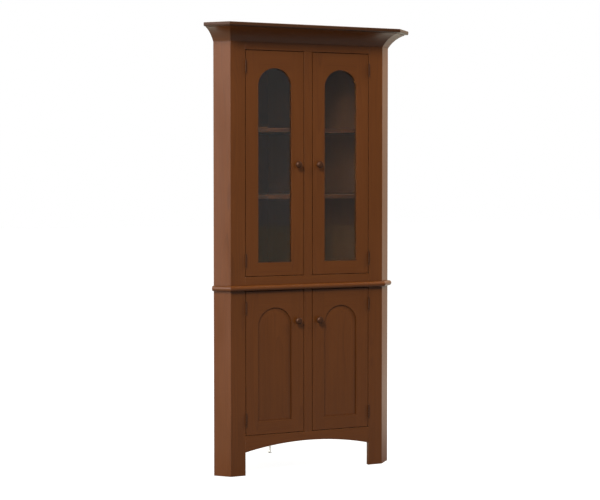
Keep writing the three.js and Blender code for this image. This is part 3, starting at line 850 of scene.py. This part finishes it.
def knob_profile(head, reach):
    """From the screw in the stile to the middle of the knob's face."""
    screw = 2.5 * MM
    seat = 0.1 * MM
    rose = (head * 0.62, 1.0 * MM)
    foot = (head * 0.46, 2.7 * MM)
    neck = (head * 0.40, reach * 0.30)
    under = (head * 0.97, reach * 0.61)
    brim = (head * 0.985, reach * 0.69)
    crown = (head * 0.42, reach * 0.985)
    profile = [(0, -15.8 * MM), (screw * 0.4, -15 * MM), (screw, -12 * MM), (screw, seat)]
    profile += [(rose[0], seat), rose]
    profile += bezier(rose, (rose[0], 2.4 * MM), foot, 5)
    profile += bezier(foot, (neck[0], 3.6 * MM), neck, 5)
    profile += bezier(neck, (neck[0], reach * 0.52), under, 10)
    profile += bezier(under, (head * 1.02, reach * 0.64), brim, 4)
    profile += bezier(brim, (head * 0.86, reach * 0.93), crown, 8)
    profile += bezier(crown, (head * 0.2, reach), (0, reach), 4)
    return profile


def make_leaf_screws(node, body, facing):
    """Three countersunk screws in a leaf, their heads towards the hinge's other leaf."""
    hardware = chosen("hardware")
    low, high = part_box(node)
    head = hardware.screw_head / 2
    profile = [(0, -1.7 * MM), (head * 0.45, -1.7 * MM), (head, -0.25 * MM), (head, -0.02 * MM),
               (head * 0.8, 0.03 * MM), (head * 0.2, 0.06 * MM), (0, 0.06 * MM)]
    shells = []
    for up, inwards in SCREW_PLACES:
        centre = Vector((
            (low.x + high.x) / 2 - facing * LEAF_ROUNDING,
            low.y + hardware.hinge_barrel + inwards * hardware.hinge_plate,
            low.z + (high.z - low.z) * up))
        shells.append(spun(profile, centre, RIGHT * facing, SCREW_STEPS))
    make_bronze(join_into(*shells), node + "_screws", body)


def make_pin_tips(hinge):
    """The domed ends of a hinge's pin."""
    low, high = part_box(hinge + "_frame_leaf")
    barrel = chosen("hardware").hinge_barrel / 2
    centre = Vector(((low.x + high.x) / 2, low.y + barrel, 0))
    rim = (barrel * 0.78, 0.2 * MM)
    profile = [(0, -0.4 * MM), (rim[0], -0.4 * MM), rim]
    profile += bezier(rim, (barrel * 0.7, 1.1 * MM), (0, 1.2 * MM), 5)
    shells = [
        spun(profile, centre + UP * height, outwards, PIN_STEPS)
        for height, outwards in ((high.z, UP), (low.z, -UP))]
    make_bronze(join_into(*shells), hinge + "_pin_tips", "case")


# Stage

def make_floor(stage):
    """A pale floor, white to the camera, that still keeps the cupboard's soft shadow. Gloss mirrors
    it as pale behind the cupboard and close to its left, and as dim as the room far in front."""
    bm = bmesh.new()
    bmesh.ops.create_grid(bm, x_segments=1, y_segments=1, size=FLOOR_REACH)
    mesh = bpy.data.meshes.new("Floor")
    bm.to_mesh(mesh)
    bm.free()
    material, tree, shader = new_material("Pale floor")
    place = add_node(tree, "SeparateXYZ", {0: object_position(tree)}).outputs
    x = place["X"]
    y = place["Y"]
    aside = plus(tree, x, times(tree, y, PANE_SLOPE))
    far = times(
        tree, ranged(tree, y, *FLOOR_AHEAD, 0.0, stage.reflected_level),
        ranged(tree, aside, *BETWEEN_PANES_ON_FLOOR, 1.0, RIGHT_SHARE))
    left = ranged(tree, x, *FLOOR_LEFT, 0.0, FLOOR_LEFT_LEVEL)
    near_left = times(tree, ranged(tree, x, *PATCH_NEAR_SIDE), ranged(tree, x, *PATCH_FAR_SIDE))
    patch = times(tree, near_left, ranged(tree, y, *PATCH_FRONT))
    level = ranged(tree, y, *FLOOR_BEHIND)
    for other in (far, left, patch):
        level = math_node(tree, "MAXIMUM", level, other)
    glossy = add_node(tree, "LightPath").outputs["Is Glossy Ray"]
    mirrored = times(tree, glossy, times(tree, level, FLOOR_MIRRORED))
    straight = seen_directly(tree)
    seen = math_node(tree, "MAXIMUM", straight, mirrored)
    set_inputs(tree, shader, {
        "Base Color": (0.15, 0.15, 0.15), "Roughness": 0.9, "Specular IOR Level": 0.1,
        "Emission Color": mixed(tree, straight, stage.sweep_colour, (1, 1, 1)),
        "Emission Strength": times(tree, seen, FLOOR_WHITE)})
    mesh.materials.append(material)
    new_object("Floor", mesh)


def seen_directly(tree):
    """1 on rays from the camera, also straight through the glass, and 0 on light that has bounced."""
    path = add_node(tree, "LightPath").outputs
    bounces = plus(tree, path["Diffuse Depth"], path["Glossy Depth"])
    straight = math_node(tree, "LESS_THAN", bounces, 0.5)
    through = times(tree, path["Is Transmission Ray"], straight)
    return math_node(tree, "MAXIMUM", path["Is Camera Ray"], through)


def set_room(stage):
    """White where the camera sees the background. For everything else a pale sweep behind the
    cupboard, a dimmer room in front of it with a window at the left for gloss to mirror, and a
    soft beam for what stands behind the glass."""
    world = bpy.data.worlds.new("Room")
    bpy.context.scene.world = world
    world.use_nodes = True
    tree = world.node_tree
    background = next(n for n in tree.nodes if n.type == "BACKGROUND")
    towards = add_node(tree, "TexCoord").outputs["Generated"]
    parts = add_node(tree, "SeparateXYZ", {0: towards}).outputs
    path = add_node(tree, "LightPath").outputs
    window = times(
        tree, ranged(tree, parts["X"], *WINDOW_SIDE),
        ranged(tree, parts["Z"], *WINDOW_RISE, 0.0, stage.side_window_level))
    dim = stage.reflected_level
    mirrored = plus(tree, window, ranged(tree, parts["X"], *BETWEEN_PANES, dim, dim * RIGHT_SHARE))
    front = mixed(tree, path["Is Glossy Ray"], (stage.room_level,) * 3, mirrored)
    bounced = math_node(tree, "MINIMUM", path["Diffuse Depth"], 1.0)
    inwards = times(tree, path["Is Transmission Ray"], bounced)
    beamward = vector_node(tree, "DOT_PRODUCT", towards, direction(*BEAM_ANGLES))["Value"]
    beam = ranged(tree, beamward, *BEAM_CONE, stage.window_level, stage.beam_level)
    front = plus(tree, front, times(tree, inwards, beam))
    rise = ranged(tree, parts["Y"], *ROOM_BEHIND)
    behind = times(tree, rise, stage.sweep_level)
    ahead = times(tree, front, math_node(tree, "SUBTRACT", 1.0, rise))
    level = plus(tree, behind, ahead)
    seen = seen_directly(tree)
    unseen = times(tree, level, math_node(tree, "SUBTRACT", 1.0, seen))
    tint = mixed(tree, seen, mixed(tree, rise, (1, 1, 1), stage.sweep_colour), (1, 1, 1))
    set_inputs(tree, background, {"Color": tint, "Strength": plus(tree, seen, unseen)})


def direction(azimuth, elevation):
    """The unit vector from the cupboard towards an azimuth and an elevation given in degrees."""
    turn = math.radians(azimuth)
    rise = math.radians(elevation)
    return Vector((math.sin(turn) * math.cos(rise), -math.cos(turn) * math.cos(rise), math.sin(rise)))


def aimed_at(target, azimuth, elevation, distance):
    """The place and turn of a lamp or a camera that looks at a target."""
    outwards = direction(azimuth, elevation)
    turn = (-outwards).to_track_quat("-Z", "Y").to_matrix().to_4x4()
    return Matrix.Translation(target + outwards * distance) @ turn


def add_lamp(stage, name, azimuth, elevation, distance, size, level, mirrored):
    """A soft light aimed at the middle of the cupboard, out of the camera's sight."""
    data = bpy.data.lights.new(name, "AREA")
    data.shape = "RECTANGLE"
    data.size, data.size_y = size
    data.energy = getattr(stage, level) * math.pi ** 2 * distance ** 2
    lamp = new_object(name, data)
    lamp.visible_camera = False
    lamp.visible_glossy = mirrored
    lamp.matrix_world = aimed_at(LIGHT_TARGET, azimuth, elevation, distance)


def set_camera(stage):
    data = bpy.data.cameras.new("Camera")
    data.sensor_width = 36
    data.lens = stage.lens
    data.shift_y = stage.lens_shift
    data.clip_end = 100
    camera = new_object("Camera", data)
    camera.matrix_world = aimed_at(
        Vector(stage.camera_target), stage.camera_azimuth, stage.camera_elevation, stage.camera_distance)
    bpy.context.scene.camera = camera


# Operators

class CUPBOARD_OT_cases(bpy.types.Operator):
    """Make the boards of the two cases"""
    bl_idname = "cupboard.cases"
    bl_label = "Cases"

    def execute(self, context):
        for side in SIDES:
            for case in ("base", "hutch"):
                make_board(f"{case}_{side}_side", UP, SIDE_TANGENT[side])
                make_board(f"{case}_{side}_stile", UP, RIGHT)
                make_board(f"{case}_{side}_back", UP, BACK_TANGENT[side], inside_wood())
        for node in ("base_centre_stile", "hutch_centre_stile"):
            make_board(node, UP, RIGHT)
        for node in ("base_top_rail", "base_apron", "hutch_bottom_rail", "hutch_top_rail"):
            make_board(node, RIGHT, UP)
        for node in ("base_floor", "base_shelf", "base_top", "hutch_floor", "hutch_top"):
            make_board(node, RIGHT, BACK, inside_wood())
        for node in ("hutch_lower_shelf", "hutch_upper_shelf"):
            make_board(node, RIGHT, BACK)
        make_rear_foot()
        return {"FINISHED"}


class CUPBOARD_OT_mouldings(bpy.types.Operator):
    """Make the waist bead and the cornice"""
    bl_idname = "cupboard.mouldings"
    bl_label = "Mouldings"

    def execute(self, context):
        wood = chosen("wood")
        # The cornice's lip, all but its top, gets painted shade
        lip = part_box("cornice_front")[1].z - wood.lip_height
        for moulding, shaded_above in (("waist_moulding", None), ("cornice", lip)):
            for part, along in {"front": RIGHT, **SIDE_TANGENT}.items():
                make_board(f"{moulding}_{part}", along, UP,
                           size=wood.moulding_rounding, shaded_above=shaded_above)
        return {"FINISHED"}


class CUPBOARD_OT_upper_doors(bpy.types.Operator):
    """Make the glazed doors of the upper case"""
    bl_idname = "cupboard.upper_doors"
    bl_label = "Upper Doors"

    def execute(self, context):
        for side in SIDES:
            make_door_frame("upper", side, True)
            make_glazing("upper", side)
        return {"FINISHED"}


class CUPBOARD_OT_lower_doors(bpy.types.Operator):
    """Make the panelled doors of the base"""
    bl_idname = "cupboard.lower_doors"
    bl_label = "Lower Doors"

    def execute(self, context):
        for side in SIDES:
            make_door_frame("lower", side, False)
            make_panel("lower", side)
        return {"FINISHED"}


class CUPBOARD_OT_knobs(bpy.types.Operator):
    """Turn the four knobs"""
    bl_idname = "cupboard.knobs"
    bl_label = "Knobs"

    def execute(self, context):
        steps = chosen("hardware").turn_steps
        for level in LEVELS:
            for side in SIDES:
                node = f"{level}_{side}_knob"
                body = f"{level}_{side}_door"
                low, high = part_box(node)
                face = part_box(body + "_frame")[0].y
                centre = Vector(((low.x + high.x) / 2, face, (low.z + high.z) / 2))
                bm = spun(knob_profile((high.x - low.x) / 2, face - low.y), centre, -BACK, steps)
                make_bronze(bm, "bronze_" + node, body, [node])
        return {"FINISHED"}


class CUPBOARD_OT_hinges(bpy.types.Operator):
    """Make the eight butt hinges and their screws"""
    bl_idname = "cupboard.hinges"
    bl_label = "Hinges"

    def execute(self, context):
        for level in LEVELS:
            for side, sign in SIDES.items():
                leaves = (("frame_leaf", "case", -sign), ("door_leaf", f"{level}_{side}_door", sign))
                for place in LEVELS:
                    hinge = f"{level}_{side}_{place}_hinge"
                    for leaf, body, facing in leaves:
                        node = f"{hinge}_{leaf}"
                        bm = merged_copy(node)
                        ease(bm, LEAF_ROUNDING, 1)
                        make_bronze(bm, "bronze_" + node, body, [node])
                        make_leaf_screws(node, body, facing)
                    make_pin_tips(hinge)
        return {"FINISHED"}


class CUPBOARD_OT_stage(bpy.types.Operator):
    """Set the floor, the lights, the room and the camera"""
    bl_idname = "cupboard.stage"
    bl_label = "Stage"

    def execute(self, context):
        stage = chosen("stage")
        make_floor(stage)
        set_room(stage)
        for lamp in LAMPS:
            add_lamp(stage, *lamp)
        set_camera(stage)
        context.scene.view_settings.view_transform = "Standard"
        return {"FINISHED"}


class CUPBOARD_PT_panel(bpy.types.Panel):
    """Lists the cupboard's pieces and settings"""
    bl_idname = "CUPBOARD_PT_panel"
    bl_label = "Corner Cupboard"
    bl_space_type = "VIEW_3D"
    bl_region_type = "UI"
    bl_category = "Cupboard"

    def draw(self, context):
        for name, (_, *operators) in LAYOUT.items():
            box = self.layout.box()
            group = getattr(context.scene, name)
            for setting in group.__annotations__:
                box.prop(group, setting)
            for operator in operators:
                box.operator(operator.bl_idname)


LAYOUT = {
    "cupboard_wood": (WoodSettings, CUPBOARD_OT_cases, CUPBOARD_OT_mouldings),
    "cupboard_doors": (DoorSettings, CUPBOARD_OT_upper_doors, CUPBOARD_OT_lower_doors),
    "cupboard_hardware": (HardwareSettings, CUPBOARD_OT_knobs, CUPBOARD_OT_hinges),
    "cupboard_stage": (StageSettings, CUPBOARD_OT_stage),
}


def register():
    for name, classes in LAYOUT.items():
        for each in classes:
            bpy.utils.register_class(each)
        setattr(bpy.types.Scene, name, PointerProperty(type=classes[0]))
    bpy.utils.register_class(CUPBOARD_PT_panel)


def unregister():
    bpy.utils.unregister_class(CUPBOARD_PT_panel)
    for name, classes in LAYOUT.items():
        delattr(bpy.types.Scene, name)
        for each in reversed(classes):
            bpy.utils.unregister_class(each)


def main():
    register()
    bpy.ops.cupboard.cases()
    bpy.ops.cupboard.mouldings()
    bpy.ops.cupboard.upper_doors()
    bpy.ops.cupboard.lower_doors()
    bpy.ops.cupboard.knobs()
    bpy.ops.cupboard.hinges()
    bpy.ops.cupboard.stage()
    bpy.context.view_layer.update()


if __name__ == "__main__":
    main()
